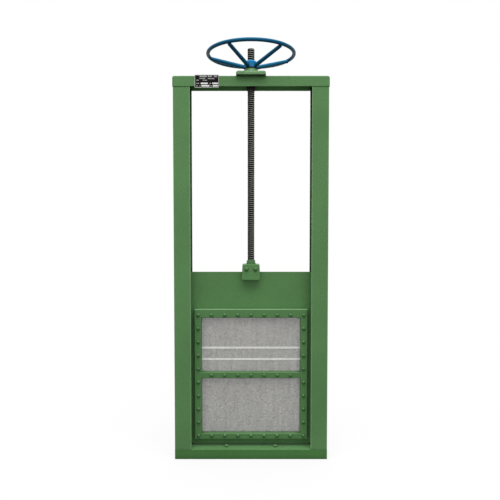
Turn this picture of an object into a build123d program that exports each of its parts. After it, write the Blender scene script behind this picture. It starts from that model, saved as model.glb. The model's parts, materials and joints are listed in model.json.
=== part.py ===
from build123d import *
import os
from math import cos, radians, sin

# Hand-operated sluice gate with a rising stem. Millimetres, +Z up.
# The origin is on the ground under the stem. -Y is the side with the clamp frame.

# Frame
FRAME_WIDTH = 603.0
FRAME_DEPTH = 70.0
FRAME_HEIGHT = 1502.0

# Posts: folded channels, open towards the gate
POST_WIDTH = 65.5
POST_WALL = 5.0
POST_CORNER_RADIUS = 3.0
POST_ROOT_RADIUS = 1.0
POST_TOP_GAP = 6.0

# Guide strips: flats inside the posts, in front of the leaf
GUIDE_STRIP_WIDTH = 45.0
GUIDE_STRIP_THICKNESS = 5.0

# Sill: rectangular tube closed by end caps
SILL_HEIGHT = 40.0
SILL_WALL = 4.0
SILL_CORNER_RADIUS = 2.5
SILL_CAP_THICKNESS = 4.0
ANCHOR_SPACING = 195.0
ANCHOR_Y = -8.0
ANCHOR_HOLE_DIAMETER = 9.0

# Top beam: folded cap over the posts, open underneath
BEAM_HEIGHT = 40.0
BEAM_WALL = 2.0
BEAM_END_RADIUS = 8.0
BEAM_FOLD_RADIUS = 4.0
BEAM_HOLE_CLEARANCE = 3.0

# Stem and its nut
STEM_DIAMETER = 28.0
STEM_TOP_CHAMFER = 2.5
STEM_ABOVE_HUB = 45.5
STEM_NUT_DIAMETER = 35.0
STEM_NUT_CLEARANCE = 0.5
STEM_NUT_BELOW_BEAM = 9.0
STEM_NUT_CHAMFER = 1.5

# Pedestal: casting with a square foot and a conical neck
FOOT_SIZE = 115.0
FOOT_HEIGHT = 15.0
FOOT_CORNER_RADIUS = 9.0
FOOT_DRAFT_DEG = 3.0
FOOT_TOP_RADIUS = 8.0
NECK_FOOT_DIAMETER = 61.0
NECK_TOP_DIAMETER = 51.0
NECK_HEIGHT = 18.0
NECK_FILLET = 5.0
PEDESTAL_BORE_CLEARANCE = 1.0

# Thrust washer between the neck and the hub
WASHER_THICKNESS = 4.5
WASHER_RUNNING_GAP = 0.5

# Handwheel: dished, with tapered round spokes
WHEEL_DIAMETER = 349.0
RIM_BAR_DIAMETER = 14.0
RIM_ABOVE_HUB_FOOT = 53.5
SPOKE_COUNT = 5
SPOKE_ROOT_DIAMETER = 16.0
SPOKE_TIP_DIAMETER = 14.0
SPOKE_ROOT_HEIGHT = 6.5
SPOKE_TIP_BELOW_RIM = 5.0
SPOKE_INSIDE_HUB = 3.0
SPOKE_TIP_CHAMFER = 3.5
SPOKE_SHORT_OF_RIM_BAR = 3.0
SPOKE_START_DEG = 24.3
HUB_DIAMETER = 54.0
HUB_HEIGHT = 28.5
HUB_TOP_DIAMETER = 34.0
HUB_CONE_HEIGHT = 8.0
HUB_TOP_THICKNESS = 7.0
HUB_BORE_CLEARANCE = 1.0

# Gate leaf: plate with one window over the other
LEAF_THICKNESS = 5.0
LEAF_HEIGHT = 696.5
LEAF_SIDE_CLEARANCE = 10.0
LEAF_REAR_CLEARANCE = 8.0
LEAF_GUIDE_CLEARANCE = 5.0
LEAF_SILL_CLEARANCE = 5.0

# Clamp frame: bars bolted over the screens
CLAMP_HEIGHT = 523.5
CLAMP_ABOVE_LEAF_FOOT = 25.0
CLAMP_SIDE_GAP = 11.0
CLAMP_DEPTH = 22.0
CLAMP_EDGE_RADIUS = 2.0
SIDE_BAR_WIDTH = 27.5
TOP_BAR_WIDTH = 33.5
MIDDLE_BAR_WIDTH = 24.0
BOTTOM_BAR_WIDTH = 22.5
MIDDLE_BAR_ABOVE_CLAMP_FOOT = 247.0

# Screens and the flat rods across the upper one
SCREEN_THICKNESS = 2.0
SCREEN_JOINT_GAP = 1.0
ROD_HEIGHT = 8.0
ROD_THICKNESS = 1.5
ROD_EDGE_RADIUS = 0.7
LOWER_ROD_ABOVE_MIDDLE_BAR = 48.0
UPPER_ROD_ABOVE_MIDDLE_BAR = 94.5

# Bracket that holds the stem to the leaf
BRACKET_TOP_WIDTH = 67.0
BRACKET_FOOT_WIDTH = 74.0
BRACKET_HEIGHT = 62.5
BRACKET_ABOVE_LEAF = 32.5
BRACKET_TOP_RADIUS = 5.0
BRACKET_FOOT_RADIUS = 8.0
BRACKET_FRONT_BEYOND_STEM = 6.0
BRACKET_EDGE_RADIUS = 2.0
BACK_PLATE_THICKNESS = 8.0
BACK_PLATE_EDGE_CHAMFER = 1.5
BACK_PLATE_STEP_CLEARANCE = 0.5
SOCKET_DEPTH = 53.0
SOCKET_CLEARANCE = 0.25
COLLAR_DIAMETER = 34.0
COLLAR_HEIGHT = 15.5
COLLAR_FOOT_DIAMETER = 38.0
COLLAR_FOOT_HEIGHT = 4.0
COLLAR_CHAMFER = 1.5

# Levels and planes that follow from the sizes above
half_width = FRAME_WIDTH / 2
half_depth = FRAME_DEPTH / 2
post_length = FRAME_HEIGHT - BEAM_WALL - POST_TOP_GAP - SILL_HEIGHT
beam_foot_z = FRAME_HEIGHT - BEAM_HEIGHT

leaf_back_y = half_depth - POST_WALL - LEAF_REAR_CLEARANCE
leaf_front_y = leaf_back_y - LEAF_THICKNESS
leaf_half_width = half_width - POST_WALL - LEAF_SIDE_CLEARANCE
leaf_foot_z = SILL_HEIGHT + LEAF_SILL_CLEARANCE
leaf_top_z = leaf_foot_z + LEAF_HEIGHT

screen_front_y = leaf_front_y - SCREEN_THICKNESS
clamp_front_y = screen_front_y - CLAMP_DEPTH
clamp_half_width = half_width - POST_WIDTH - CLAMP_SIDE_GAP
clamp_foot_z = leaf_foot_z + CLAMP_ABOVE_LEAF_FOOT
clamp_top_z = clamp_foot_z + CLAMP_HEIGHT
window_half_width = clamp_half_width - SIDE_BAR_WIDTH
lower_window_foot_z = clamp_foot_z + BOTTOM_BAR_WIDTH
lower_window_top_z = clamp_foot_z + MIDDLE_BAR_ABOVE_CLAMP_FOOT
upper_window_foot_z = lower_window_top_z + MIDDLE_BAR_WIDTH
upper_window_top_z = clamp_top_z - TOP_BAR_WIDTH
windows = ((lower_window_foot_z, lower_window_top_z), (upper_window_foot_z, upper_window_top_z))
screen_joint_z = (lower_window_top_z + upper_window_foot_z) / 2

neck_foot_z = FRAME_HEIGHT + FOOT_HEIGHT
neck_top_z = neck_foot_z + NECK_HEIGHT
hub_foot_z = neck_top_z + WASHER_THICKNESS + WASHER_RUNNING_GAP
hub_top_z = hub_foot_z + HUB_HEIGHT
rim_z = hub_foot_z + RIM_ABOVE_HUB_FOOT
rim_radius = (WHEEL_DIAMETER - RIM_BAR_DIAMETER) / 2

bracket_top_z = leaf_top_z + BRACKET_ABOVE_LEAF
bracket_front_y = -(STEM_DIAMETER / 2 + BRACKET_FRONT_BEYOND_STEM)
stem_foot_z = bracket_top_z - SOCKET_DEPTH
stem_top_z = hub_top_z + STEM_ABOVE_HUB
nut_foot_z = beam_foot_z - STEM_NUT_BELOW_BEAM
nut_top_z = hub_top_z - HUB_TOP_THICKNESS


def block(x0, x1, y0, y1, z0, z1):
    """Box between two corners."""
    middle = Pos((x0 + x1) / 2, (y0 + y1) / 2, (z0 + z1) / 2)
    return middle * Box(x1 - x0, y1 - y0, z1 - z0)


def upright_cylinder(diameter, z0, z1):
    """Cylinder on the stem's axis."""
    return Pos(0, 0, (z0 + z1) / 2) * Cylinder(diameter / 2, z1 - z0)


def mirrored(piece):
    """The same piece on the other side of the gate."""
    return mirror(piece, about=Plane.YZ)


# Frame pieces
def left_post():
    outer = Rectangle(POST_WIDTH, FRAME_DEPTH, align=(Align.MIN, Align.CENTER))
    outer = fillet(outer.vertices().group_by(Axis.X)[0], POST_CORNER_RADIUS)
    inner_size = (POST_WIDTH - POST_WALL, FRAME_DEPTH - 2 * POST_WALL)
    inner = Pos(POST_WALL, 0) * Rectangle(*inner_size, align=(Align.MIN, Align.CENTER))
    inner = fillet(inner.vertices().group_by(Axis.X)[0], POST_ROOT_RADIUS)
    return extrude(Pos(-half_width, 0, SILL_HEIGHT) * (outer - inner), amount=post_length)


def left_guide_strip():
    back_y = leaf_front_y - LEAF_GUIDE_CLEARANCE
    web_x = -half_width + POST_WALL
    return block(
        web_x, web_x + GUIDE_STRIP_WIDTH,
        back_y - GUIDE_STRIP_THICKNESS, back_y,
        SILL_HEIGHT, SILL_HEIGHT + post_length,
    )


def sill_outline():
    return Pos(0, SILL_HEIGHT / 2) * RectangleRounded(FRAME_DEPTH, SILL_HEIGHT, SILL_CORNER_RADIUS)


def sill():
    half_tube = half_width - SILL_CAP_THICKNESS
    hollow = Pos(0, SILL_HEIGHT / 2) * Rectangle(FRAME_DEPTH - 2 * SILL_WALL, SILL_HEIGHT - 2 * SILL_WALL)
    tube = extrude(Plane.YZ * (sill_outline() - hollow), amount=half_tube, both=True)
    hole = upright_cylinder(ANCHOR_HOLE_DIAMETER, 0, SILL_HEIGHT)
    anchor_hole = Pos(ANCHOR_SPACING / 2, ANCHOR_Y, 0) * hole
    return tube - anchor_hole - mirrored(anchor_hole)


def left_sill_cap():
    cap = extrude(Plane.YZ * sill_outline(), amount=SILL_CAP_THICKNESS)
    return Pos(-half_width, 0, 0) * cap


def beam_outline(wall, end_radius):
    """Front view of the cap beam, with its upper corners rounded."""
    size = (FRAME_WIDTH + 2 * wall, BEAM_HEIGHT - BEAM_WALL + wall)
    outline = Pos(0, beam_foot_z) * Rectangle(*size, align=(Align.CENTER, Align.MIN))
    return Plane.XZ * fillet(outline.vertices().group_by(Axis.Y)[-1], end_radius)


def top_beam():
    cap = extrude(beam_outline(BEAM_WALL, BEAM_END_RADIUS), amount=half_depth + BEAM_WALL, both=True)
    rims = cap.faces().filter_by(Axis.Y).edges().filter_by(lambda edge: edge.center().Z > beam_foot_z + 1)
    cap = fillet(rims, BEAM_FOLD_RADIUS)
    hollow = extrude(beam_outline(0, BEAM_END_RADIUS - BEAM_WALL), amount=half_depth, both=True)
    hole_diameter = STEM_NUT_DIAMETER + 2 * BEAM_HOLE_CLEARANCE
    return cap - hollow - upright_cylinder(hole_diameter, beam_foot_z, FRAME_HEIGHT)


def pedestal():
    foot_outline = Pos(0, 0, FRAME_HEIGHT) * RectangleRounded(FOOT_SIZE, FOOT_SIZE, FOOT_CORNER_RADIUS)
    foot = extrude(foot_outline, amount=FOOT_HEIGHT, taper=FOOT_DRAFT_DEG)
    foot = fillet(foot.edges().group_by(Axis.Z)[-1], FOOT_TOP_RADIUS)
    neck = Cone(NECK_FOOT_DIAMETER / 2, NECK_TOP_DIAMETER / 2, NECK_HEIGHT)
    casting = foot + Pos(0, 0, (neck_foot_z + neck_top_z) / 2) * neck
    circles = casting.edges().filter_by(GeomType.CIRCLE)
    root = [edge for edge in circles if abs(edge.radius - NECK_FOOT_DIAMETER / 2) < 0.01]
    casting = fillet(root, NECK_FILLET)
    bore_diameter = STEM_NUT_DIAMETER + 2 * PEDESTAL_BORE_CLEARANCE
    return casting - upright_cylinder(bore_diameter, FRAME_HEIGHT, neck_top_z)


def thrust_washer():
    top_z = neck_top_z + WASHER_THICKNESS
    disc = upright_cylinder(HUB_DIAMETER, neck_top_z, top_z)
    return disc - upright_cylinder(STEM_NUT_DIAMETER + 2 * PEDESTAL_BORE_CLEARANCE, neck_top_z, top_z)


# Handwheel pieces
def hub_body():
    """Hub without its bore: a drum with a conical top."""
    drum = upright_cylinder(HUB_DIAMETER, hub_foot_z, hub_top_z - HUB_CONE_HEIGHT)
    cone = Cone(HUB_DIAMETER / 2, HUB_TOP_DIAMETER / 2, HUB_CONE_HEIGHT)
    return drum + Pos(0, 0, hub_top_z - HUB_CONE_HEIGHT / 2) * cone


def handwheel_hub():
    hub = hub_body() - upright_cylinder(STEM_NUT_DIAMETER, hub_foot_z, nut_top_z)
    return hub - upright_cylinder(STEM_DIAMETER + 2 * HUB_BORE_CLEARANCE, nut_top_z, hub_top_z)


def handwheel_rim():
    return Pos(0, 0, rim_z) * Torus(rim_radius, RIM_BAR_DIAMETER / 2)


def handwheel_spoke(number):
    """Tapered bar from the hub up to the rim, cut to the shape of both."""
    angle = radians(SPOKE_START_DEG + number * 360 / SPOKE_COUNT)
    outward = Vector(cos(angle), sin(angle), 0)
    root = outward * (HUB_DIAMETER / 2) + Vector(0, 0, hub_foot_z + SPOKE_ROOT_HEIGHT)
    tip = outward * (rim_radius - SPOKE_SHORT_OF_RIM_BAR) + Vector(0, 0, rim_z - SPOKE_TIP_BELOW_RIM)
    root -= (tip - root).normalized() * SPOKE_INSIDE_HUB
    along = tip - root
    on_root = (Align.CENTER, Align.CENTER, Align.MIN)
    bar = Cone(SPOKE_ROOT_DIAMETER / 2, SPOKE_TIP_DIAMETER / 2, along.length, align=on_root)
    bar = chamfer(bar.edges().group_by(Axis.Z)[-1], SPOKE_TIP_CHAMFER)
    below_hub = upright_cylinder(WHEEL_DIAMETER, hub_foot_z - HUB_HEIGHT, hub_foot_z)
    return Plane(origin=root, z_dir=along) * bar - below_hub - hub_body() - handwheel_rim()


def stem_nut():
    sleeve = upright_cylinder(STEM_NUT_DIAMETER, nut_foot_z, nut_top_z)
    sleeve = chamfer(sleeve.edges().group_by(Axis.Z)[0], STEM_NUT_CHAMFER)
    return sleeve - upright_cylinder(STEM_DIAMETER + 2 * STEM_NUT_CLEARANCE, nut_foot_z, nut_top_z)


# Gate pieces
def cut_windows(plate, y0, y1):
    """The plate with both windows cut through it."""
    for foot_z, top_z in windows:
        plate -= block(-window_half_width, window_half_width, y0, y1, foot_z, top_z)
    return plate


def leaf_plate():
    leaf = block(-leaf_half_width, leaf_half_width, leaf_front_y, leaf_back_y, leaf_foot_z, leaf_top_z)
    return cut_windows(leaf, leaf_front_y, leaf_back_y)


def clamp_frame():
    """The five bars in one, with all front edges rounded."""
    frame = block(
        -clamp_half_width, clamp_half_width,
        clamp_front_y, screen_front_y,
        clamp_foot_z, clamp_top_z,
    )
    frame = cut_windows(frame, clamp_front_y, screen_front_y)
    return fillet(frame.faces().sort_by(Axis.Y)[0].edges(), CLAMP_EDGE_RADIUS)


def clamp_bar(x0, x1, z0, z1):
    """The bar between two corners of the clamp frame."""
    return clamp_frame() & block(x0, x1, clamp_front_y, screen_front_y, z0, z1)


def cross_bar(z0, z1):
    return clamp_bar(-window_half_width, window_half_width, z0, z1)


def screen(z0, z1):
    return block(-clamp_half_width, clamp_half_width, screen_front_y, leaf_front_y, z0, z1)


def screen_rod(height):
    middle_z = upper_window_foot_z + height
    rod = block(
        -window_half_width, window_half_width,
        screen_front_y - ROD_THICKNESS, screen_front_y,
        middle_z - ROD_HEIGHT / 2, middle_z + ROD_HEIGHT / 2,
    )
    return fillet(rod.faces().sort_by(Axis.Y)[0].edges().filter_by(Axis.X), ROD_EDGE_RADIUS)


def bracket_outline():
    """Front view of the bracket: it widens downwards and has larger radii there."""
    half_top = BRACKET_TOP_WIDTH / 2
    half_foot = BRACKET_FOOT_WIDTH / 2
    foot_z = bracket_top_z - BRACKET_HEIGHT
    foot_corners = ((-half_foot, foot_z), (half_foot, foot_z))
    top_corners = ((half_top, bracket_top_z), (-half_top, bracket_top_z))
    outline = make_face(Polyline(*foot_corners, *top_corners, close=True))
    outline = fillet(outline.vertices().group_by(Axis.Y)[0], BRACKET_FOOT_RADIUS)
    outline = fillet(outline.vertices().group_by(Axis.Y)[-1], BRACKET_TOP_RADIUS)
    return Plane.XZ * outline


def stem_bracket():
    body = Pos(0, leaf_front_y, 0) * extrude(bracket_outline(), amount=leaf_front_y - bracket_front_y)
    body = fillet(body.faces().sort_by(Axis.Y)[0].edges(), BRACKET_EDGE_RADIUS)
    return body - upright_cylinder(STEM_DIAMETER + 2 * SOCKET_CLEARANCE, stem_foot_z, bracket_top_z)


def bracket_back_plate():
    back_y = leaf_back_y + BACK_PLATE_THICKNESS
    plate = Pos(0, back_y, 0) * extrude(bracket_outline(), amount=back_y - leaf_front_y)
    plate = chamfer(plate.faces().sort_by(Axis.Y)[-1].edges(), BACK_PLATE_EDGE_CHAMFER)
    step_z = leaf_top_z + BACK_PLATE_STEP_CLEARANCE
    foot_z = step_z - BRACKET_HEIGHT
    leaf_gap = block(
        -BRACKET_FOOT_WIDTH, BRACKET_FOOT_WIDTH,
        leaf_front_y, leaf_back_y,
        foot_z, step_z,
    )
    return plate - leaf_gap


def stem_collar():
    top_z = bracket_top_z + COLLAR_HEIGHT
    ring = upright_cylinder(COLLAR_DIAMETER, bracket_top_z, top_z)
    ring = chamfer(ring.edges().group_by(Axis.Z)[-1], COLLAR_CHAMFER)
    ring += upright_cylinder(COLLAR_FOOT_DIAMETER, bracket_top_z, bracket_top_z + COLLAR_FOOT_HEIGHT)
    return ring - upright_cylinder(STEM_DIAMETER + 2 * SOCKET_CLEARANCE, bracket_top_z, top_z)


def stem():
    rod = upright_cylinder(STEM_DIAMETER, stem_foot_z, stem_top_z)
    return chamfer(rod.edges().group_by(Axis.Z)[-1], STEM_TOP_CHAMFER)


pieces = {
    "left_post": left_post(),
    "right_post": mirrored(left_post()),
    "left_guide_strip": left_guide_strip(),
    "right_guide_strip": mirrored(left_guide_strip()),
    "sill": sill(),
    "left_sill_cap": left_sill_cap(),
    "right_sill_cap": mirrored(left_sill_cap()),
    "top_beam": top_beam(),
    "pedestal": pedestal(),
    "thrust_washer": thrust_washer(),
    "handwheel_rim": handwheel_rim(),
    "handwheel_hub": handwheel_hub(),
    "stem_nut": stem_nut(),
    "leaf_plate": leaf_plate(),
    "top_clamp_bar": cross_bar(upper_window_top_z, clamp_top_z),
    "middle_clamp_bar": cross_bar(lower_window_top_z, upper_window_foot_z),
    "bottom_clamp_bar": cross_bar(clamp_foot_z, lower_window_foot_z),
    "left_clamp_bar": clamp_bar(-clamp_half_width, -window_half_width, clamp_foot_z, clamp_top_z),
    "right_clamp_bar": clamp_bar(window_half_width, clamp_half_width, clamp_foot_z, clamp_top_z),
    "upper_screen": screen(screen_joint_z + SCREEN_JOINT_GAP / 2, clamp_top_z),
    "lower_screen": screen(clamp_foot_z, screen_joint_z - SCREEN_JOINT_GAP / 2),
    "upper_screen_rod": screen_rod(UPPER_ROD_ABOVE_MIDDLE_BAR),
    "lower_screen_rod": screen_rod(LOWER_ROD_ABOVE_MIDDLE_BAR),
    "stem_bracket": stem_bracket(),
    "bracket_back_plate": bracket_back_plate(),
    "stem_collar": stem_collar(),
    "stem": stem(),
}
for number in range(SPOKE_COUNT):
    pieces[f"handwheel_spoke_{number + 1}"] = handwheel_spoke(number)

os.makedirs("parts", exist_ok=True)
for name, piece in pieces.items():
    export_step(piece, os.path.join("parts", f"{name}.step"))
    print(name, "solids:", len(piece.solids()), "volume:", round(piece.volume))
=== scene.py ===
# %% [markdown]
# # Dressing a sluice gate
# The gate is a welded steel frame, a leaf that slides in it, and a handwheel whose nut lifts the leaf by a
# threaded stem. The solids already have the right shape and size, so this lesson adds what they leave out:
# thread, woven wire, bolts, welds and paint.
# The solids are loaded first. Nothing that is added may make the gate bigger.

# %% Load the solids
import json
from math import pi, radians, sqrt

import bmesh
import bpy
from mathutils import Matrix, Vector

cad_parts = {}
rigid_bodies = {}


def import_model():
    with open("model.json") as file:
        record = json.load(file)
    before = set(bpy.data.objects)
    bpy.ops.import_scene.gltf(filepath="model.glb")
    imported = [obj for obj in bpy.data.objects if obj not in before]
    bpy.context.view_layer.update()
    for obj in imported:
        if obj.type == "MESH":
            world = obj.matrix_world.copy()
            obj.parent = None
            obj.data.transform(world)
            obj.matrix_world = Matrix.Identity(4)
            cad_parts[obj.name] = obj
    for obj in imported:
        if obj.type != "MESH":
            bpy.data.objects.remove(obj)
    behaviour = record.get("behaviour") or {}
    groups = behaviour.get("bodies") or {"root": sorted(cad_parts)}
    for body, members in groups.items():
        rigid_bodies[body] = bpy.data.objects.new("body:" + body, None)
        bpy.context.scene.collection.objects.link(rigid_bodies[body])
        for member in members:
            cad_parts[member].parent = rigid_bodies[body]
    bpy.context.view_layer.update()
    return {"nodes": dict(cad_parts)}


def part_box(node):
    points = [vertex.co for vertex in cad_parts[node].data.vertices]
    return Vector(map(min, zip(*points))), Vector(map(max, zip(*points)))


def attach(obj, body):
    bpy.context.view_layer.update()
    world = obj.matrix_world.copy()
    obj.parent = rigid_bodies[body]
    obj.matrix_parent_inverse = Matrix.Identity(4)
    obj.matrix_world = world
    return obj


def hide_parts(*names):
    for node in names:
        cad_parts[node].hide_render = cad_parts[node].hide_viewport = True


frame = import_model()

# %% [markdown]
# ## Helpers for colour and shader nodes
# Colours are given as hex values, which are sRGB, while a shader counts in linear light, so one
# function converts them. A second one adds a node with its settings and links in one line, which keeps each
# material short enough to read.

# %% Colour and node helpers
MM = 0.001


def linear(hex_colour):
    """sRGB hex to linear RGBA."""
    parts = [int(hex_colour[i:i + 2], 16) / 255 for i in (1, 3, 5)]
    return tuple(p / 12.92 if p <= 0.04045 else ((p + 0.055) / 1.055) ** 2.4 for p in parts) + (1.0,)


def add_node(tree, kind, inputs=None, **settings):
    """New node; each input is a value, or a socket to link from."""
    made = tree.nodes.new(kind)
    for name, value in settings.items():
        setattr(made, name, value)
    for key, value in (inputs or {}).items():
        if isinstance(value, bpy.types.NodeSocket):
            tree.links.new(value, made.inputs[key])
        else:
            made.inputs[key].default_value = value
    return made


def start_material(name):
    """Empty material with its node tree and Object coordinates in metres."""
    material = bpy.data.materials.new(name)
    material.use_nodes = True
    material.node_tree.nodes.clear()
    place = add_node(material.node_tree, "ShaderNodeTexCoord").outputs["Object"]
    return material, material.node_tree, place


print("one millimetre is", MM, "m")

# %% [markdown]
# ## Enamel
# The frame is mild steel sprayed with a satin green alkyd enamel. It has a fine orange peel, a slight mottle
# where the coat varies, and paler edges, partly where the coat is thin and partly as painted highlight. One
# function makes every coat, because they differ only in colour, sheen, wear and painted light and shade.
# Painted shade darkens the coat in corners, which the Ambient Occlusion node finds, and on faces that look
# down, while faces that look up are mixed towards the pale coat as painted light.
# In the slots that the leaf runs in and on the sill under it, a band darkens the coat as painted shade.
# The lips of the slots carry a painted highlight, a pale strip wider than on other edges.
# Inside the hollow beam a band lightens the rear wall as painted light.
# The clamp bars are welded flush and sprayed as one frame, so their coat has no edges of its own at the
# joints. The two bars that lie in the shade of the top one, and the stem collar, get a darker copy of the
# coat with less painted top light, as painted shade.
# The wheel's rim and spokes are a darker blue than its hub, and the casting on the beam is a paler green.
# The orange peel of the real coat is about 2 mm across, and its mottle is hardly wider. The mottle is drawn
# 7 mm across, so that it shows in the picture.

# %% Enamels
MOTTLE_SIZE = 7 * MM
CLOUD_SIZE = 180 * MM
PEEL_SIZE = 2 * MM
PEEL_DEPTH = 0.15 * MM
EDGE_ROUNDING = 1.5 * MM
LIP_ROUNDING = 8 * MM
GREEN_COAT = "#53814B"
WORN_AND_LIT_GREEN_COAT = "#7DAA76"
# Too far away to touch the gate, without width, and with the shade of the rest.
NO_BAND = (10.0, 0.0, 1.0)


def sprayed_enamel(name, coat, worn_and_lit_coat, roughness=0.48, specular=0.3, edge_wear_and_highlight=0.0, rounding=0.0,
                   top_light=0.0, reach=30 * MM, underside_shade=1.0, band=NO_BAND):
    """Satin enamel on steel: mottle, orange peel, pale edges, and painted shade and top light.

    reach is how far the painted corner shade spreads, and the underside factor is painted shade on faces
    that look down. band is a strip painted lighter or darker, but not on the sides of a piece: its middle and
    half width in Y, and its shade.
    """
    material, tree, place = start_material(name)
    mottle = add_node(tree, "ShaderNodeTexNoise", {"Vector": place, "Scale": 1 / MOTTLE_SIZE, "Detail": 3.0})
    cloud = add_node(tree, "ShaderNodeTexNoise", {"Vector": place, "Scale": 1 / CLOUD_SIZE, "Detail": 2.0})
    both = add_node(tree, "ShaderNodeMath", {0: mottle.outputs["Fac"], 1: cloud.outputs["Fac"]},
                    operation="MULTIPLY")
    shade = add_node(tree, "ShaderNodeMapRange", {0: both.outputs[0], 1: 0.12, 2: 0.40, 3: 0.90, 4: 1.10})
    # Painted shade: the coat is darkened in corners, where shade falls.
    corner = add_node(tree, "ShaderNodeAmbientOcclusion", {"Distance": reach}, samples=8)
    corner_shade = add_node(tree, "ShaderNodeMapRange", {0: corner.outputs["AO"], 1: 0.25, 2: 0.85, 3: 0.4, 4: 1.0})
    facing = add_node(tree, "ShaderNodeNewGeometry")
    looks = add_node(tree, "ShaderNodeSeparateXYZ", {0: facing.outputs["Normal"]})
    lies = add_node(tree, "ShaderNodeSeparateXYZ", {0: place})
    # A band across Y paints light or shade into the coat, by its factor.
    band_middle, band_half, band_shade = band
    in_band = add_node(tree, "ShaderNodeMath", {0: lies.outputs["Y"], 1: band_middle, 2: band_half},
                       operation="COMPARE")
    not_side = add_node(tree, "ShaderNodeMath", {0: looks.outputs["X"], 1: 0.0, 2: 0.5}, operation="COMPARE")
    banded = add_node(tree, "ShaderNodeMath", {0: in_band.outputs[0], 1: not_side.outputs[0]},
                      operation="MULTIPLY")
    band_light_and_shade = add_node(tree, "ShaderNodeMapRange", {0: banded.outputs[0], 1: 0.0, 2: 1.0,
                                                  3: 1.0, 4: band_shade})
    # Painted shade on faces that look down.
    below = add_node(tree, "ShaderNodeMapRange", {0: looks.outputs["Z"], 1: -0.7, 2: -0.1, 3: underside_shade, 4: 1.0})
    for factor in (corner_shade, band_light_and_shade, below):
        shade = add_node(tree, "ShaderNodeMath", {0: shade.outputs[0], 1: factor.outputs[0]},
                         operation="MULTIPLY")
    # Pale edges: partly thin worn coat, partly painted highlight.
    rounded = add_node(tree, "ShaderNodeBevel", {"Radius": rounding}, samples=6)
    same = add_node(tree, "ShaderNodeVectorMath", {0: rounded.outputs[0], 1: facing.outputs["True Normal"]},
                    operation="DOT_PRODUCT")
    edge = add_node(tree, "ShaderNodeMapRange", {0: same.outputs["Value"], 1: 0.98, 2: 0.75,
                                                 3: 0.0, 4: edge_wear_and_highlight})
    # Painted light: faces that look up are mixed towards the pale coat.
    top_lit = add_node(tree, "ShaderNodeMapRange", {0: looks.outputs["Z"], 1: 0.2, 2: 0.9,
                                                     3: 0.0, 4: top_light})
    pale = add_node(tree, "ShaderNodeMath", {0: edge.outputs[0], 1: top_lit.outputs[0]}, operation="MAXIMUM")
    coat_colour = add_node(tree, "ShaderNodeMix", {0: pale.outputs[0], 6: linear(coat), 7: linear(worn_and_lit_coat)},
                           data_type="RGBA")
    shaded_coat = add_node(tree, "ShaderNodeVectorMath", {0: coat_colour.outputs[2], "Scale": shade.outputs[0]},
                       operation="SCALE")
    peel = add_node(tree, "ShaderNodeTexNoise", {"Vector": place, "Scale": 1 / PEEL_SIZE, "Detail": 1.0})
    rough = add_node(tree, "ShaderNodeMapRange", {0: mottle.outputs["Fac"], 1: 0.3, 2: 0.7,
                                                  3: roughness - 0.06, 4: roughness + 0.06})
    bump = add_node(tree, "ShaderNodeBump", {"Strength": 0.25, "Distance": PEEL_DEPTH,
                                             "Height": peel.outputs["Fac"], "Normal": rounded.outputs[0]})
    shader = add_node(tree, "ShaderNodeBsdfPrincipled", {
        "Base Color": shaded_coat.outputs[0], "Roughness": rough.outputs[0], "Normal": bump.outputs[0],
        "Specular IOR Level": specular})
    add_node(tree, "ShaderNodeOutputMaterial", {0: shader.outputs[0]})
    return material


green_enamel = sprayed_enamel("green_enamel", GREEN_COAT, WORN_AND_LIT_GREEN_COAT, edge_wear_and_highlight=0.5,
                              rounding=EDGE_ROUNDING, top_light=0.25)
# The band is painted light on the inside of the beam's rear wall.
beam_enamel = sprayed_enamel("beam_enamel", GREEN_COAT, WORN_AND_LIT_GREEN_COAT, edge_wear_and_highlight=0.5,
                             rounding=EDGE_ROUNDING, top_light=0.25, band=(33 * MM, 3 * MM, 2.2))
# On the posts a wide edge rounding paints a highlight along the lips, and the band is painted shade inside.
post_enamel = sprayed_enamel("post_enamel", "#5D8756", "#A5CC9E", specular=0.05, edge_wear_and_highlight=1.0,
                             rounding=LIP_ROUNDING, top_light=0.25, band=(28 * MM, 5 * MM, 0.3))
# The band is painted shade on the sill behind the leaf, and faces that look down get painted shade.
sill_enamel = sprayed_enamel("sill_enamel", "#4F7E47", "#7FAE78", roughness=0.50, specular=0.02,
                             rounding=EDGE_ROUNDING, top_light=0.35, underside_shade=0.4, band=(23 * MM, 10 * MM, 0.45))
# The top bar gets strong painted top light; the shaded copy below is darker, as painted shade.
clamp_enamel = sprayed_enamel("clamp_enamel", "#507D48", "#8FBC88", top_light=0.8, underside_shade=0.3)
shaded_enamel = sprayed_enamel("shaded_enamel", "#4D7945", "#8FBC88", top_light=0.2, underside_shade=0.3)
leaf_enamel = sprayed_enamel("leaf_enamel", GREEN_COAT, WORN_AND_LIT_GREEN_COAT, reach=10 * MM)
# On the bolts and beads, close corner shade and underside shade are painted shade, top light a highlight.
bolt_enamel = sprayed_enamel("bolt_enamel", "#3F6839", "#86B47F", roughness=0.42, specular=0.25, top_light=0.5,
                             reach=9 * MM, underside_shade=0.6)
pale_green_enamel = sprayed_enamel("pale_green_enamel", "#678F60", "#83AC7C", roughness=0.45, edge_wear_and_highlight=0.4,
                                   rounding=EDGE_ROUNDING, top_light=0.3)
# On the rim and spokes, painted top light and painted shade on faces that look down.
blue_enamel = sprayed_enamel("blue_enamel", "#09597E", "#2989AF", roughness=0.40, specular=0.1, top_light=0.6,
                             underside_shade=0.6)
hub_enamel = sprayed_enamel("hub_enamel", "#1173A8", "#2F90BE", roughness=0.40, specular=0.2, edge_wear_and_highlight=0.3,
                            rounding=EDGE_ROUNDING, top_light=0.3)
print("enamels:", [material.name for material in bpy.data.materials if material.name.endswith("enamel")])

# %% [markdown]
# ## Steel
# The nut and the washer under the hub are black with grease, and the two rods across the screen are pale
# zinc. Both are the same idea, a metal whose colour and sheen vary from place to place, so one function makes
# them. The grain is the size of the patches.


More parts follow.
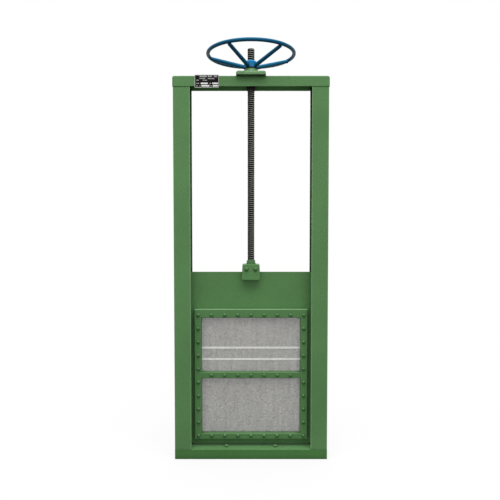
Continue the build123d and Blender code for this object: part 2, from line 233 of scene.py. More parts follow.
# %% Steels
def weathered_metal(name, colour, dark, roughness, grain, metallic=0.0, specular=0.5):
    """Metal, or paint on metal, with patches of another shade and an uneven sheen."""
    material, tree, place = start_material(name)
    patch = add_node(tree, "ShaderNodeTexNoise", {"Vector": place, "Scale": 1 / grain, "Detail": 4.0})
    amount = add_node(tree, "ShaderNodeMapRange", {0: patch.outputs["Fac"], 1: 0.35, 2: 0.65, 3: 0.0, 4: 1.0})
    colours = add_node(tree, "ShaderNodeMix", {0: amount.outputs[0], 6: linear(dark), 7: linear(colour)},
                       data_type="RGBA")
    rough = add_node(tree, "ShaderNodeMapRange", {0: patch.outputs["Fac"], 1: 0.3, 2: 0.7,
                                                  3: roughness - 0.08, 4: roughness + 0.08})
    shader = add_node(tree, "ShaderNodeBsdfPrincipled", {
        "Base Color": colours.outputs[2], "Metallic": metallic, "Roughness": rough.outputs[0],
        "Specular IOR Level": specular})
    add_node(tree, "ShaderNodeOutputMaterial", {0: shader.outputs[0]})
    return material


greased_steel = weathered_metal("greased_steel", "#201F1D", "#121110", 0.55, 5 * MM, specular=0.2)
zinc_plate = weathered_metal("zinc_plate", "#F0F0EC", "#DCDCD8", 0.55, 12 * MM)
print("steels:", greased_steel.name, zinc_plate.name)

# %% [markdown]
# ## Paint the solids
# The sprayer painted the frame and the leaf in one go, bolts and all, so everything is green unless the list
# says otherwise. The handwheel came ready painted blue, and the stem, its nut and the washer under the hub
# are left as bare steel, well greased.

# %% Paint the solids
finish_of = {name: green_enamel for name in frame["nodes"]}
for name in finish_of:
    if name.startswith("handwheel"):
        finish_of[name] = blue_enamel
    if name.endswith("clamp_bar"):
        finish_of[name] = clamp_enamel
    if name.endswith(("post", "guide_strip")):
        finish_of[name] = post_enamel
finish_of.update({
    "top_beam": beam_enamel, "sill": sill_enamel, "leaf_plate": leaf_enamel, "pedestal": pale_green_enamel,
    "stem_collar": shaded_enamel, "middle_clamp_bar": shaded_enamel, "bottom_clamp_bar": shaded_enamel,
    "handwheel_hub": hub_enamel, "stem_nut": greased_steel, "thrust_washer": greased_steel,
    "upper_screen_rod": zinc_plate, "lower_screen_rod": zinc_plate,
})
for name, finish in finish_of.items():
    solid = frame["nodes"][name]
    solid.data.materials.clear()
    solid.data.materials.append(finish)
print("painted", len(finish_of), "solids")

# %% [markdown]
# ## Helpers for modelling
# Each new piece starts with nothing selected and is shaped in edit mode. It ends with doubles merged, normals
# outward and transforms applied, then gets a finish and a body to move with. Short functions do what
# every piece needs, so that each piece shows only its own steps.
# Picking is done in code by the place of a vertex, or the middle of an edge or a face, where a modeller would
# click. A place that touches a face is found within a hundredth of a millimetre.

# %% Modelling helpers
TOUCH = 0.01 * MM
MERGE_DISTANCE = 0.005 * MM


def start_fresh():
    """Object mode with nothing selected."""
    if bpy.context.mode != "OBJECT":
        bpy.ops.object.mode_set(mode="OBJECT")
    bpy.ops.object.select_all(action="DESELECT")


def start_editing():
    """Apply the active piece's place, turn and size, and go to edit mode."""
    bpy.ops.object.transform_apply(location=True, rotation=True, scale=True)
    bpy.ops.object.mode_set(mode="EDIT")


def pick(kind, test):
    """In edit mode, select the verts, edges or faces whose middle and corners pass the test."""
    bpy.ops.mesh.select_mode(type={"verts": "VERT", "edges": "EDGE", "faces": "FACE"}[kind])
    bpy.ops.mesh.select_all(action="DESELECT")
    mesh = bpy.context.edit_object.data
    shape = bmesh.from_edit_mesh(mesh)
    for element in getattr(shape, kind):
        corners = [element.co] if kind == "verts" else [v.co for v in element.verts]
        element.select_set(bool(test(sum(corners, Vector()) / len(corners), corners)))
    shape.select_flush_mode()
    bmesh.update_edit_mesh(mesh)


def repeat(places):
    """Copies of the active piece, each with its own mesh, joined into one; it stands at the first place."""
    first = bpy.context.object
    for place in places[1:]:
        start_fresh()
        first.select_set(True)
        bpy.context.view_layer.objects.active = first
        bpy.ops.object.duplicate(linked=False)
        bpy.ops.transform.translate(value=Vector(place) - Vector(places[0]))
        bpy.context.object["copy_of"] = first.name
    start_fresh()
    for made in bpy.context.scene.objects:
        made.select_set(made.get("copy_of") == first.name)
    first.select_set(True)
    bpy.context.view_layer.objects.active = first
    bpy.ops.object.join()


def finish_piece(name, body, finish=None, smooth=35):
    """Clean the active piece, shade it, paint it and let it move with its body."""
    piece = bpy.context.object
    bpy.ops.object.mode_set(mode="EDIT")
    bpy.ops.mesh.select_all(action="SELECT")
    bpy.ops.mesh.remove_doubles(threshold=MERGE_DISTANCE)
    bpy.ops.mesh.normals_make_consistent(inside=False)
    bpy.ops.object.mode_set(mode="OBJECT")
    bpy.ops.object.transform_apply(location=True, rotation=True, scale=True)
    bpy.ops.object.shade_smooth_by_angle(angle=radians(smooth))
    piece.name = name
    if finish:
        piece.data.materials.clear()
        piece.data.materials.append(finish)
    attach(piece, body)
    print(name, "faces:", len(piece.data.polygons))
    return piece


print("doubles closer than", MERGE_DISTANCE / MM, "mm are merged")

# %% [markdown]
# ## Stem thread
# The stem is a left-hand trapezoidal thread, 28 mm outside with a pitch of 8 mm, so turning the wheel
# clockwise lowers the leaf. A lathe cuts such a thread with one tool that travels a pitch a turn, and the
# Screw modifier does the same with a drawn profile.
# The profile is one root, one flank, one crest and one flank. It is drawn from a plane that is merged to one
# point, by extruding the last point line by line. It goes down as it turns, which makes the thread
# left-handed. Spare turns are then sawn off at both ends with a bisect, and a short plain end is
# turned on top, bevelled so that the nut starts easily.
# The nut wipes the crests bright, while old grease stays dark in the roots, so the finish goes by the
# distance from the stem's axis; the bright crests and black roots also stand for painted highlight and
# painted shade on the flanks. The left side is painted darker as painted shade, and the stem gets darker
# towards its foot.

# %% Thread finish
GREASE_AND_SHADE_RADIUS = 13.1 * MM
BRIGHT_RADIUS = 13.8 * MM
LEFT_SIDE_SHADE_TO = -12 * MM
FOOT_DARKENING_FROM = 1200 * MM
FOOT_DARKENING_TO = 780 * MM
thread_steel, tree, place = start_material("greased_thread_steel")
sideways = add_node(tree, "ShaderNodeVectorMath", {0: place, 1: (1, 1, 0)}, operation="MULTIPLY")
radius = add_node(tree, "ShaderNodeVectorMath", {0: sideways.outputs[0]}, operation="LENGTH")
# Bright crests and black roots: wiped steel and grease, and painted highlight and shade.
crest = add_node(tree, "ShaderNodeMapRange", {0: radius.outputs["Value"], 1: GREASE_AND_SHADE_RADIUS, 2: BRIGHT_RADIUS,
                                              3: 0.0, 4: 1.0})
wiped_and_lit = add_node(tree, "ShaderNodeMix", {0: crest.outputs[0], 6: linear("#050505"), 7: linear("#A09F97")},
                 data_type="RGBA")
along = add_node(tree, "ShaderNodeSeparateXYZ", {0: place})
# Painted shade: the left side of the stem is darker.
left_side_shade = add_node(tree, "ShaderNodeMapRange", {0: along.outputs["X"], 1: LEFT_SIDE_SHADE_TO, 2: 0.0,
                                                3: 0.35, 4: 1.0})
# The stem gets darker towards its foot.
foot_darkening = add_node(tree, "ShaderNodeMapRange", {0: along.outputs["Z"], 1: FOOT_DARKENING_TO, 2: FOOT_DARKENING_FROM,
                                              3: 0.8, 4: 1.02})
side_and_foot_darkening = add_node(tree, "ShaderNodeMath", {0: left_side_shade.outputs[0], 1: foot_darkening.outputs[0]}, operation="MULTIPLY")
greased_and_shaded = add_node(tree, "ShaderNodeVectorMath", {0: wiped_and_lit.outputs[2], "Scale": side_and_foot_darkening.outputs[0]},
                   operation="SCALE")
shader = add_node(tree, "ShaderNodeBsdfPrincipled", {"Base Color": greased_and_shaded.outputs[0], "Roughness": 0.55,
                                                     "Specular IOR Level": 0.03})
add_node(tree, "ShaderNodeOutputMaterial", {0: shader.outputs[0]})
print("thread finish:", thread_steel.name)

# %% Stem thread
THREAD_PITCH = 8 * MM
THREAD_DEPTH = 1.5 * MM
ROOT_RADIUS = 12.5 * MM
ROOT_LENGTH = 5.1 * MM
FLANK_LENGTH = 0.5 * MM
CREST_LENGTH = 1.9 * MM
SPARE_TURNS = 2
STEPS_PER_TURN = 24
THREAD_MERGE = 0.001 * MM
PLAIN_END = 4 * MM
PLAIN_END_RADIUS = 13.4 * MM
PLAIN_END_BEVEL = 1.2 * MM
thread_profile = ((0, ROOT_LENGTH), (THREAD_DEPTH, FLANK_LENGTH), (0, CREST_LENGTH),
                  (-THREAD_DEPTH, FLANK_LENGTH))
stem_low, stem_high = (Vector(corner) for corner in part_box("stem"))
start_fresh()
bpy.ops.mesh.primitive_plane_add(size=1 * MM, location=(0, 0, 0))
bpy.ops.object.mode_set(mode="EDIT")
bpy.ops.mesh.select_all(action="SELECT")
bpy.ops.mesh.merge(type="CENTER")
bpy.ops.transform.translate(value=(ROOT_RADIUS, 0, stem_high.z + SPARE_TURNS * THREAD_PITCH))
for out, down in thread_profile:
    bpy.ops.mesh.extrude_vertices_move(TRANSFORM_OT_translate={"value": (out, 0, -down)})
bpy.ops.object.mode_set(mode="OBJECT")
bpy.ops.object.modifier_add(type="SCREW")
screw = bpy.context.object.modifiers[-1]
screw.angle = 2 * pi
screw.screw_offset = -THREAD_PITCH
screw.iterations = round((stem_high.z - stem_low.z) / THREAD_PITCH) + 2 * SPARE_TURNS
screw.steps = STEPS_PER_TURN
screw.render_steps = STEPS_PER_TURN
screw.use_merge_vertices = True
screw.merge_threshold = THREAD_MERGE
bpy.ops.object.modifier_apply(modifier=screw.name)
bpy.ops.object.mode_set(mode="EDIT")
bpy.ops.mesh.select_all(action="SELECT")
bpy.ops.mesh.bisect(plane_co=(0, 0, stem_high.z - PLAIN_END), plane_no=(0, 0, 1), use_fill=True,
                    clear_outer=True)
bpy.ops.mesh.select_all(action="SELECT")
bpy.ops.mesh.bisect(plane_co=(0, 0, stem_low.z), plane_no=(0, 0, 1), use_fill=True, clear_inner=True)
bpy.ops.object.mode_set(mode="OBJECT")
thread = bpy.context.object
start_fresh()
bpy.ops.mesh.primitive_cylinder_add(vertices=STEPS_PER_TURN, radius=PLAIN_END_RADIUS, depth=PLAIN_END,
                                    location=(0, 0, stem_high.z - PLAIN_END / 2))
start_editing()
pick("edges", lambda middle, corners: min(c.z for c in corners) > stem_high.z - TOUCH)
bpy.ops.mesh.bevel(offset=PLAIN_END_BEVEL, segments=2)
bpy.ops.object.mode_set(mode="OBJECT")
thread.select_set(True)
bpy.ops.object.join()
thread = finish_piece("stem_thread", "gate", thread_steel, smooth=25)
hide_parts("stem")

# %% [markdown]
# ## Woven screens
# Each window is closed by plain-weave wire cloth, held between the leaf and the clamp bars. Every wire is
# crimped over one crossing wire and under the next. The real cloth is finer than the picture can show, so it
# is drawn with a 3 mm pitch and wires flattened to 2 mm by 1 mm.
# One wire is modelled: a four-sided rod, cut at each crossing and pushed in and out by turns. An array lays
# down every second wire, and a copy that is mirrored front to back fills the places in between. The same is
# done for the wires that run across.
# A flat edging stands for the cloth's folded hem under the clamp bars: a plane with its middle inset and
# taken out, then thickened.
# The wire is dull grey. Its colour carries a painted sparkle, standing for the glints of the weave from one
# crossing to the next, and the painted shade of slight wrinkles from top to foot: a fine pattern, drawn
# 4.3 mm wide to show in the picture, is mixed with a weak one that is 16 mm wide and 150 mm long.

# %% Wire finish
SPARKLE_SIZE = 4.3 * MM
WRINKLE_SHADE_WIDTH = 16 * MM
WRINKLE_SHADE_LENGTH = 150 * MM
grey_wire, tree, place = start_material("grey_wire")
# Painted sparkle: a fine noise in the colour stands for the weave's glints.
sparkle = add_node(tree, "ShaderNodeTexNoise", {"Vector": place, "Scale": 1 / SPARKLE_SIZE, "Detail": 1.0})
stretched = add_node(tree, "ShaderNodeMapping", {
    "Vector": place, "Scale": (1 / WRINKLE_SHADE_WIDTH, 1 / WRINKLE_SHADE_WIDTH, 1 / WRINKLE_SHADE_LENGTH)})
# Painted shade of the cloth's slight wrinkles.
wrinkle_shade = add_node(tree, "ShaderNodeTexNoise", {"Vector": stretched.outputs[0], "Scale": 1.0, "Detail": 2.0})
fine = add_node(tree, "ShaderNodeMapRange", {0: sparkle.outputs["Fac"], 1: 0.3, 2: 0.7, 3: 0.71, 4: 1.29})
broad = add_node(tree, "ShaderNodeMapRange", {0: wrinkle_shade.outputs["Fac"], 1: 0.3, 2: 0.7, 3: 0.87, 4: 1.13})
both = add_node(tree, "ShaderNodeMath", {0: fine.outputs[0], 1: broad.outputs[0]}, operation="MULTIPLY")
wire = add_node(tree, "ShaderNodeVectorMath", {0: linear("#9D9C98")[:3], "Scale": both.outputs[0]},
                operation="SCALE")
shader = add_node(tree, "ShaderNodeBsdfPrincipled", {"Base Color": wire.outputs[0], "Metallic": 0.3,
                                                     "Roughness": 0.6})
add_node(tree, "ShaderNodeOutputMaterial", {0: shader.outputs[0]})
print("wire finish:", grey_wire.name)

# %% Crimped wires
WIRE_PITCH = 3 * MM
WIRE_WIDTH = 2 * MM
WIRE_THICKNESS = 0.96 * MM
CRIMP = 0.5 * MM


def wire_layer(start, along, side, wires, crossings, first_push):
    """Crimped wires next to each other; along and side are 0 for X and 2 for Z."""
    reach = (crossings - 1) * WIRE_PITCH
    centre = Vector(start)
    centre[along] += reach / 2
    step = Vector()
    step[side] = WIRE_PITCH
    start_fresh()
    bpy.ops.mesh.primitive_cylinder_add(vertices=4, radius=WIRE_WIDTH / 2, depth=reach, location=centre,
                                        rotation=(0, radians(90) if along == 0 else 0, 0))
    start_editing()
    bpy.ops.mesh.select_all(action="SELECT")
    bpy.ops.transform.resize(value=(1, WIRE_THICKNESS / WIRE_WIDTH, 1), center_override=centre)
    pick("edges", lambda middle, corners: abs(corners[0][along] - corners[1][along]) > WIRE_PITCH)
    bpy.ops.mesh.subdivide(number_cuts=crossings - 2)
    for turn, push in ((0, first_push), (1, -first_push)):
        pick("verts", lambda middle, corners: round((middle[along] - start[along]) / WIRE_PITCH) % 2 == turn)
        bpy.ops.transform.translate(value=(0, push, 0))
    bpy.ops.object.mode_set(mode="OBJECT")
    layer = bpy.context.object
    bpy.ops.object.modifier_add(type="ARRAY")
    array = layer.modifiers[-1]
    array.count = wires // 2
    array.use_relative_offset = False
    array.use_constant_offset = True
    array.constant_offset_displace = 2 * step
    bpy.ops.object.modifier_apply(modifier=array.name)
    bpy.ops.object.duplicate(linked=False)
    bpy.ops.object.mode_set(mode="EDIT")
    bpy.ops.mesh.select_all(action="SELECT")
    bpy.ops.transform.translate(value=step)
    bpy.ops.transform.resize(value=(1, -1, 1), center_override=centre)
    bpy.ops.object.mode_set(mode="OBJECT")
    layer.select_set(True)
    bpy.ops.object.join()
    return bpy.context.object


print("a wire every", round(WIRE_PITCH / MM, 1), "mm")

# %% Woven screens
CLOTH_WIDTH = 405 * MM
HEM_WIDTH = 11 * MM
UNDER_BARS = 8 * MM


def woven_screen(name, node, foot, top):
    """Cloth from foot to top with its hem, in place of the plain sheet."""
    low, high = (Vector(corner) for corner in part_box(node))
    level = (low.y + high.y) / 2
    across = 2 * (round(CLOTH_WIDTH / WIRE_PITCH) // 2) + 2
    upright = 2 * (round((top - foot) / WIRE_PITCH) // 2)
    start = Vector((-(across - 1) / 2 * WIRE_PITCH, level, foot))
    warp = wire_layer(start, 2, 0, across, upright, CRIMP)
    weft = wire_layer(start, 0, 2, upright, across, -CRIMP)
    start_fresh()
    bpy.ops.mesh.primitive_plane_add(size=1, location=(0, level, (low.z + high.z) / 2),
                                     rotation=(radians(90), 0, 0))
    bpy.context.object.scale = (high.x - low.x, high.z - low.z, 1)
    start_editing()
    bpy.ops.mesh.select_all(action="SELECT")
    bpy.ops.mesh.inset(thickness=HEM_WIDTH)
    bpy.ops.mesh.delete(type="FACE")
    bpy.ops.mesh.select_all(action="SELECT")
    bpy.ops.transform.translate(value=(0, low.y - level, 0))
    bpy.ops.mesh.extrude_region_move(TRANSFORM_OT_translate={"value": (0, high.y - low.y, 0)})
    bpy.ops.object.mode_set(mode="OBJECT")
    warp.select_set(True)
    weft.select_set(True)
    bpy.ops.object.join()
    cloth = finish_piece(name, "gate", grey_wire, smooth=60)
    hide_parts(node)


middle_foot, middle_top = (corner[2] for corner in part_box("middle_clamp_bar"))
bottom_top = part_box("bottom_clamp_bar")[1][2]
top_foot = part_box("top_clamp_bar")[0][2]
woven_screen("lower_woven_screen", "lower_screen", bottom_top - UNDER_BARS, middle_foot + UNDER_BARS)
woven_screen("upper_woven_screen", "upper_screen", middle_top - UNDER_BARS, top_foot + UNDER_BARS)

# %% [markdown]
# ## Clamp bolts
# Forty-one cup-head bolts press the clamp bars on the screens. They went on before the spray gun, so they are
# as green as the bars. The head is turned from a cylinder: its front face is pushed out and drawn in three
# times, and the last ring is closed to a point.
# One bolt is modelled at the first place and copied to the others: nine along the top and the bottom, eight
# down each side, seven in the middle.

# %% Clamp bolts
FIRST_ROW = 84.5 * MM
ROW_STEP = 54 * MM
COLUMN_STEP = 52.4 * MM
# Each ring of a cup head: how far it is pushed out, and how much of its width is left.
CLAMP_BOLT_RINGS = ((2.4 * MM, 0.92), (1.9 * MM, 0.75), (1.0 * MM, 0.5))
CUP_TIP = 0.3 * MM
rows = [FIRST_ROW + row * ROW_STEP for row in range(10)]
columns = [column * COLUMN_STEP for column in range(-4, 5)]
clamp_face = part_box("top_clamp_bar")[0][1]
leaf_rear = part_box("leaf_plate")[1][1]
bolt_spots = [(x, rows[-1]) for x in columns] + [(x, rows[0]) for x in columns]
bolt_spots += [(x, z) for x in (columns[0], columns[-1]) for z in rows[1:-1]]
bolt_spots += [(x, (middle_foot + middle_top) / 2) for x in columns[1:-1]]


def cup_head(place, radius, skirt, rings):
    """Domed bolt head facing the front, standing on place."""
    start_fresh()
    bpy.ops.mesh.primitive_cylinder_add(vertices=16, radius=radius, depth=skirt, rotation=(radians(90), 0, 0),
                                        location=Vector(place) - Vector((0, skirt / 2, 0)))
    start_editing()
    front = place[1] - skirt
    for depth, share in rings:
        pick("faces", lambda middle, corners: middle.y < front + TOUCH)
        bpy.ops.mesh.extrude_region_move(TRANSFORM_OT_translate={"value": (0, -depth, 0)})
        bpy.ops.transform.resize(value=(share, 1, share), center_override=place)
        front -= depth
    bpy.ops.mesh.extrude_region_move(TRANSFORM_OT_translate={"value": (0, -CUP_TIP, 0)})
    bpy.ops.mesh.merge(type="CENTER")
    bpy.ops.object.mode_set(mode="OBJECT")


cup_spots = [(x, clamp_face, z) for x, z in bolt_spots]
cup_head(cup_spots[0], radius=6.8 * MM, skirt=2.6 * MM, rings=CLAMP_BOLT_RINGS)
repeat(cup_spots)
finish_piece("clamp_bolts", "gate", bolt_enamel, smooth=50)

# %% [markdown]
# ## Nuts on the rear
# Behind the leaf each bolt has an M8 nut, and two threads of the bolt stand out of it. They are painted with
# the rest. A hexagon is bevelled on its rear edges, as a nut is chamfered, and a short round end is added
# before the copies are made.

# %% Nuts
NUT_ACROSS = 13 * MM
NUT_HEIGHT = 6.5 * MM
NUT_CHAMFER = 0.9 * MM
BOLT_END_RADIUS = 4.03 * MM
BOLT_END_LENGTH = 2.5 * MM
BOLT_END_CHAMFER = 0.6 * MM


def turned_block(place, sides, radius, height, chamfer):
    """Round or six-sided block on a rear face, with a chamfer on its rear edge."""
    bpy.ops.mesh.primitive_cylinder_add(vertices=sides, radius=radius, depth=height,
                                        rotation=(radians(90), 0, 0),
                                        location=Vector(place) + Vector((0, height / 2, 0)))
    start_editing()
    rear = place[1] + height
    pick("edges", lambda middle, corners: min(c.y for c in corners) > rear - TOUCH)
    bpy.ops.mesh.bevel(offset=chamfer, segments=1)
    bpy.ops.object.mode_set(mode="OBJECT")
    return bpy.context.object


def hexagon_nut(place):
    """Nut on a rear face with the bolt's end through it."""
    start_fresh()
    nut = turned_block(place, 6, NUT_ACROSS / sqrt(3), NUT_HEIGHT, NUT_CHAMFER)
    turned_block(Vector(place) + Vector((0, NUT_HEIGHT, 0)), 12, BOLT_END_RADIUS, BOLT_END_LENGTH,
                 BOLT_END_CHAMFER)
    nut.select_set(True)
    bpy.ops.object.join()


nut_spots = [(x, leaf_rear, z) for x, z in bolt_spots]
hexagon_nut(nut_spots[0])
repeat(nut_spots)
finish_piece("clamp_nuts", "gate", green_enamel)

# %% [markdown]
# ## Bracket bolts and sill bolts
# Two larger cup heads go through the bracket and its back plate, with nuts behind. Two hexagon heads on the
# sill hold it to the floor. The sill heads are modelled upright: a hexagon whose top is pushed up and drawn
# in, which gives the rounded crown of a rolled bolt.

# %% Bracket bolts
BRACKET_BOLT_X = 17.5 * MM
BRACKET_BOLT_Z = 754.5 * MM
BRACKET_BOLT_RINGS = ((2.2 * MM, 0.92), (1.8 * MM, 0.76), (1.0 * MM, 0.5))
bracket_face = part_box("stem_bracket")[0][1]
bracket_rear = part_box("bracket_back_plate")[1][1]
front_spots = [(x, bracket_face, BRACKET_BOLT_Z) for x in (-BRACKET_BOLT_X, BRACKET_BOLT_X)]
rear_spots = [(x, bracket_rear, BRACKET_BOLT_Z) for x in (-BRACKET_BOLT_X, BRACKET_BOLT_X)]
cup_head(front_spots[0], radius=8 * MM, skirt=1.8 * MM, rings=BRACKET_BOLT_RINGS)
repeat(front_spots)
finish_piece("bracket_bolts", "gate", bolt_enamel, smooth=50)
hexagon_nut(rear_spots[0])
repeat(rear_spots)
finish_piece("bracket_nuts", "gate", green_enamel)

# %% Sill bolts
SILL_BOLT_X = 97.5 * MM
SILL_BOLT_Y = -8 * MM
SILL_HEAD_RADIUS = 8.2 * MM
SILL_HEAD_HEIGHT = 5.5 * MM
# Each ring of the crown: how far it is pushed up, and how much of its width is left.
SILL_CROWN = ((1.2 * MM, 0.88), (0.8 * MM, 0.7))
sill_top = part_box("sill")[1][2]
sill_spots = [Vector((x, SILL_BOLT_Y, sill_top)) for x in (-SILL_BOLT_X, SILL_BOLT_X)]
start_fresh()
bpy.ops.mesh.primitive_cylinder_add(vertices=6, radius=SILL_HEAD_RADIUS, depth=SILL_HEAD_HEIGHT,
                                    location=sill_spots[0] + Vector((0, 0, SILL_HEAD_HEIGHT / 2)))
start_editing()
crown_height = sill_top + SILL_HEAD_HEIGHT
for rise, share in SILL_CROWN:
    pick("faces", lambda middle, corners: middle.z > crown_height - TOUCH)
    bpy.ops.mesh.extrude_region_move(TRANSFORM_OT_translate={"value": (0, 0, rise)})
    bpy.ops.transform.resize(value=(share, share, 1), center_override=sill_spots[0])
    crown_height += rise
bpy.ops.object.mode_set(mode="OBJECT")
repeat(sill_spots)
finish_piece("sill_bolts", "frame", bolt_enamel, smooth=50)

# %% [markdown]
# ## Weld beads
# The posts are welded to the sill, and the beads were ground nearly flush, so only a low ripple is left along
# each joint. One bead is a rod cut into short rings, every second ring drawn in, as each new drop of a weld
# overlaps the last one. It is sunk into the joint, so only a part of it shows.

# %% Weld beads
BEAD_RADIUS = 1.1 * MM
BEAD_MARGIN = 2 * MM
BEAD_INSET = 0.3 * MM
BEAD_RINGS = 31
BEAD_WAIST = 0.72
post_low, post_high = (Vector(corner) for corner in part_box("left_post"))
bead_length = post_high.x - post_low.x - 2 * BEAD_MARGIN
bead_place = Vector(((post_low.x + post_high.x) / 2, post_low.y + BEAD_INSET, post_low.z))
bead_start = bead_place.x - bead_length / 2
start_fresh()
bpy.ops.mesh.primitive_cylinder_add(vertices=8, radius=BEAD_RADIUS, depth=bead_length, location=bead_place,
                                    rotation=(0, radians(90), 0))
start_editing()
pick("edges", lambda middle, corners: abs(corners[0].x - corners[1].x) > bead_length / 2)
bpy.ops.mesh.subdivide(number_cuts=BEAD_RINGS - 1)
pick("verts", lambda middle, corners: round((middle.x - bead_start) / (bead_length / BEAD_RINGS)) % 2 == 1)
bpy.ops.transform.resize(value=(1, BEAD_WAIST, BEAD_WAIST), center_override=bead_place)
bpy.ops.object.mode_set(mode="OBJECT")
bead_depths = (bead_place.y, post_high.y - BEAD_INSET)
repeat([Vector((x, y, bead_place.z)) for y in bead_depths for x in (bead_place.x, -bead_place.x)])
finish_piece("weld_beads", "frame", bolt_enamel, smooth=60)

# %% [markdown]
# ## Nameplate
# A pressed aluminium plate is fixed to the left of the beam. It is black with a bare rim, grey rules and
# white fields for numbers. The rules and fields stay blank here: a thick rule for a heading, thinner ones
# for lines and for the labels of the fields.
# A block gets rounded corners by a bevel on its four short edges, and the front is inset and pushed back,
# which leaves the raised rim. The rules and fields are thin blocks with rounded corners and their own paint.

# %% Nameplate sizes and paint
PLATE_X = -170.1 * MM
PLATE_Z = 1480.3 * MM
PLATE_DEPTH = 1.5 * MM
PLATE_SIZE = (94 * MM, PLATE_DEPTH, 49 * MM)
PLATE_CORNER = 4.5 * MM
RIM_WIDTH = 2.4 * MM
RIM_DEPTH = 0.5 * MM
FIELD_DEPTH = 0.4 * MM
FIELD_CORNER = 1 * MM
FIELD_LEVEL = 0.35 * MM
# Left end, right end and height above the ground of each row's blocks, in mm.
NUMBER_FIELDS = ((-193, -166, 1472), (-149, -127, 1472), (-190.5, -160, 1463), (-147, -127, 1463))
HEADING_RULES = ((-198, -170, 1498.5), (-166, -150, 1498.5), (-142, -130, 1498.5))
LINE_RULES = ((-198, -176, 1490.5), (-166, -140, 1490), (-210, -200, 1484), (-185, -169, 1484))
LABEL_RULES = ((-210, -199, 1472), (-160, -152.5, 1472), (-210, -205, 1463), (-198, -193.5, 1463),
               (-157, -150, 1463))
bare_aluminium = weathered_metal("bare_aluminium", "#A8AAA6", "#92948F", 0.45, 6 * MM, metallic=0.5)
black_field = weathered_metal("black_field", "#101010", "#0A0A0A", 0.60, 6 * MM, specular=0.1)
white_field = weathered_metal("white_field", "#F2F2EE", "#E6E6E2", 0.50, 6 * MM)
grey_rule = weathered_metal("grey_rule", "#ABABA8", "#8A8A87", 0.50, 4 * MM)
beam_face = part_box("top_beam")[0][1]
plate_middle = Vector((PLATE_X, beam_face - PLATE_DEPTH / 2, PLATE_Z))
# Each kind of block with its height in mm and its paint.
plate_rows = ((NUMBER_FIELDS, 5.6, white_field), (HEADING_RULES, 6.0, grey_rule),
              (LINE_RULES, 3.4, grey_rule), (LABEL_RULES, 3.2, grey_rule))
print("blocks on the plate:", sum(len(row) for row, height, finish in plate_rows))


# %% Nameplate
def plate_block(middle, size, corner):
    """Upright block with rounded corners as seen from the front, left in edit mode."""
    start_fresh()
    bpy.ops.mesh.primitive_cube_add(size=1, location=middle)
    bpy.context.object.scale = size
    start_editing()
    pick("edges", lambda middle, corners: abs(corners[0].y - corners[1].y) > TOUCH)
    bpy.ops.mesh.bevel(offset=corner, segments=4)
    return bpy.context.edit_object


plate = plate_block(plate_middle, PLATE_SIZE, PLATE_CORNER)
for finish in (bare_aluminium, black_field):
    plate.data.materials.append(finish)
plate_front = plate_middle.y - PLATE_DEPTH / 2
pick("faces", lambda middle, corners: middle.y < plate_front + TOUCH)
bpy.ops.mesh.inset(thickness=RIM_WIDTH)
bpy.ops.mesh.extrude_region_move(TRANSFORM_OT_translate={"value": (0, RIM_DEPTH, 0)})
plate.active_material_index = 1
bpy.ops.object.material_slot_assign()
blocks = [plate]
for row, height, finish in plate_rows:
    for left, right, level in row:
        middle = ((left + right) / 2 * MM, plate_middle.y - FIELD_LEVEL, level * MM)
        block = plate_block(middle, ((right - left) * MM, FIELD_DEPTH, height * MM), FIELD_CORNER)
        block.data.materials.append(finish)
        blocks.append(block)
start_fresh()
for block in blocks:
    block.select_set(True)
bpy.context.view_layer.objects.active = plate
bpy.ops.object.join()
finish_piece("nameplate", "frame", smooth=30)

# %% [markdown]
# ## Camera
# The photograph was taken from about two metres in front and 0.92 m up, looking down by two and a half
# degrees. That is seen from the posts, which lean apart very slightly towards the top, and from how far the
# handwheel's rim opens to an ellipse.

# %% Camera
CAMERA_PLACE = (-3.9 * MM, -2092 * MM, 920.3 * MM)
CAMERA_TILT = 2.48
FOCAL_PIXELS = 528
PHOTO_PIXELS = 500
SENSOR_WIDTH = 36
start_fresh()
bpy.ops.object.camera_add(location=CAMERA_PLACE, rotation=(radians(90 - CAMERA_TILT), 0, 0))
camera = bpy.context.object
camera.data.lens = FOCAL_PIXELS / PHOTO_PIXELS * SENSOR_WIDTH
camera.data.sensor_width = SENSOR_WIDTH
camera.data.dof.use_dof = False
bpy.context.scene.camera = camera
bpy.context.scene.view_settings.view_transform = "Standard"
print("lens", round(camera.data.lens, 2), "mm")

# %% [markdown]
# ## Studio
# The gate stands in a white studio with even light from all round, and one large soft lamp high up in front.
# The floor is pale near the feet, where it takes the gate's soft shadow. Farther out it fades to plain white,
# so that no horizon shows.
# The white is only for eyes and reflections, by the Light Path node; the floor throws little light up, which
# keeps undersides dark.

# %% Floor
WHITE = (1, 1, 1, 1)
FLOOR_GREY = (0.15, 0.15, 0.15, 1)
FLOOR_SIZE = 40
FADE_FROM = 0.45
FADE_TO = 1.2


def seen_directly(tree):
    """1 for rays from the camera, reflections and clear materials."""
    path = add_node(tree, "ShaderNodeLightPath")
    seen = path.outputs["Is Camera Ray"]
    for ray in ("Is Glossy Ray", "Is Transmission Ray"):
        either = add_node(tree, "ShaderNodeMath", {0: seen, 1: path.outputs[ray]}, operation="MAXIMUM")
        seen = either.outputs[0]
    return seen


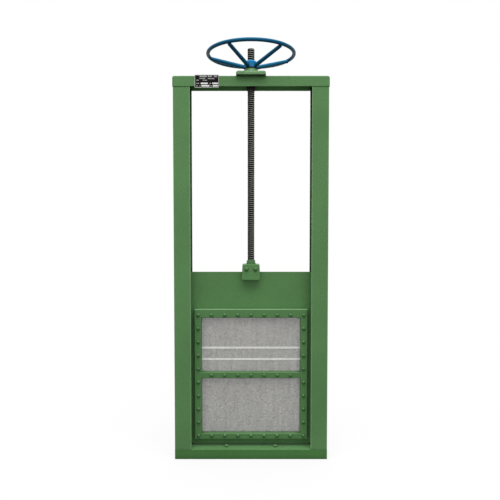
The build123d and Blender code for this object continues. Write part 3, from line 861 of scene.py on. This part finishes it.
pale_floor, tree, place = start_material("pale_floor")
seen = seen_directly(tree)
away = add_node(tree, "ShaderNodeVectorMath", {0: place}, operation="LENGTH")
fade = add_node(tree, "ShaderNodeMapRange", {0: away.outputs["Value"], 1: FADE_FROM, 2: FADE_TO,
                                             3: 0.0, 4: 1.0})
near = add_node(tree, "ShaderNodeBsdfDiffuse", {"Color": FLOOR_GREY})
lift = add_node(tree, "ShaderNodeMapRange", {0: seen, 1: 0.0, 2: 1.0, 3: 0.0, 4: 0.82})
lifted = add_node(tree, "ShaderNodeEmission", {"Color": WHITE, "Strength": lift.outputs[0]})
close = add_node(tree, "ShaderNodeAddShader", {0: near.outputs[0], 1: lifted.outputs[0]})
far = add_node(tree, "ShaderNodeMapRange", {0: seen, 1: 0.0, 2: 1.0, 3: 0.2, 4: 1.0})
white = add_node(tree, "ShaderNodeEmission", {"Color": WHITE, "Strength": far.outputs[0]})
total = add_node(tree, "ShaderNodeMixShader", {0: fade.outputs[0], 1: close.outputs[0], 2: white.outputs[0]})
add_node(tree, "ShaderNodeOutputMaterial", {0: total.outputs[0]})
start_fresh()
bpy.ops.mesh.primitive_plane_add(size=FLOOR_SIZE, location=(0, 0, 0))
floor = bpy.context.object
floor.name = "floor"
floor.data.materials.append(pale_floor)
print("stage:", floor.name)

# %% World
world = bpy.data.worlds.new("studio")
bpy.context.scene.world = world
world.use_nodes = True
tree = world.node_tree
tree.nodes.clear()
strength = add_node(tree, "ShaderNodeMapRange", {0: seen_directly(tree), 1: 0.0, 2: 1.0, 3: 0.85, 4: 1.0})
sky = add_node(tree, "ShaderNodeBackground", {"Color": WHITE, "Strength": strength.outputs[0]})
add_node(tree, "ShaderNodeOutputWorld", {0: sky.outputs[0]})
print("world:", world.name)

# %% Lamp
LAMP_PLACE = Vector((0.2, -1.6, 4.3))
LAMP_AIM = Vector((0, 0, 0.9))
LAMP_SIZE = 3.4
LAMP_POWER = 120
start_fresh()
bpy.ops.object.light_add(type="AREA", location=LAMP_PLACE)
lamp = bpy.context.object
lamp.name = "overhead_softbox"
lamp.data.size = LAMP_SIZE
lamp.data.energy = LAMP_POWER
lamp.rotation_euler = (LAMP_AIM - LAMP_PLACE).to_track_quat("-Z", "Y").to_euler()
print("lamp:", lamp.name, LAMP_POWER, "W")
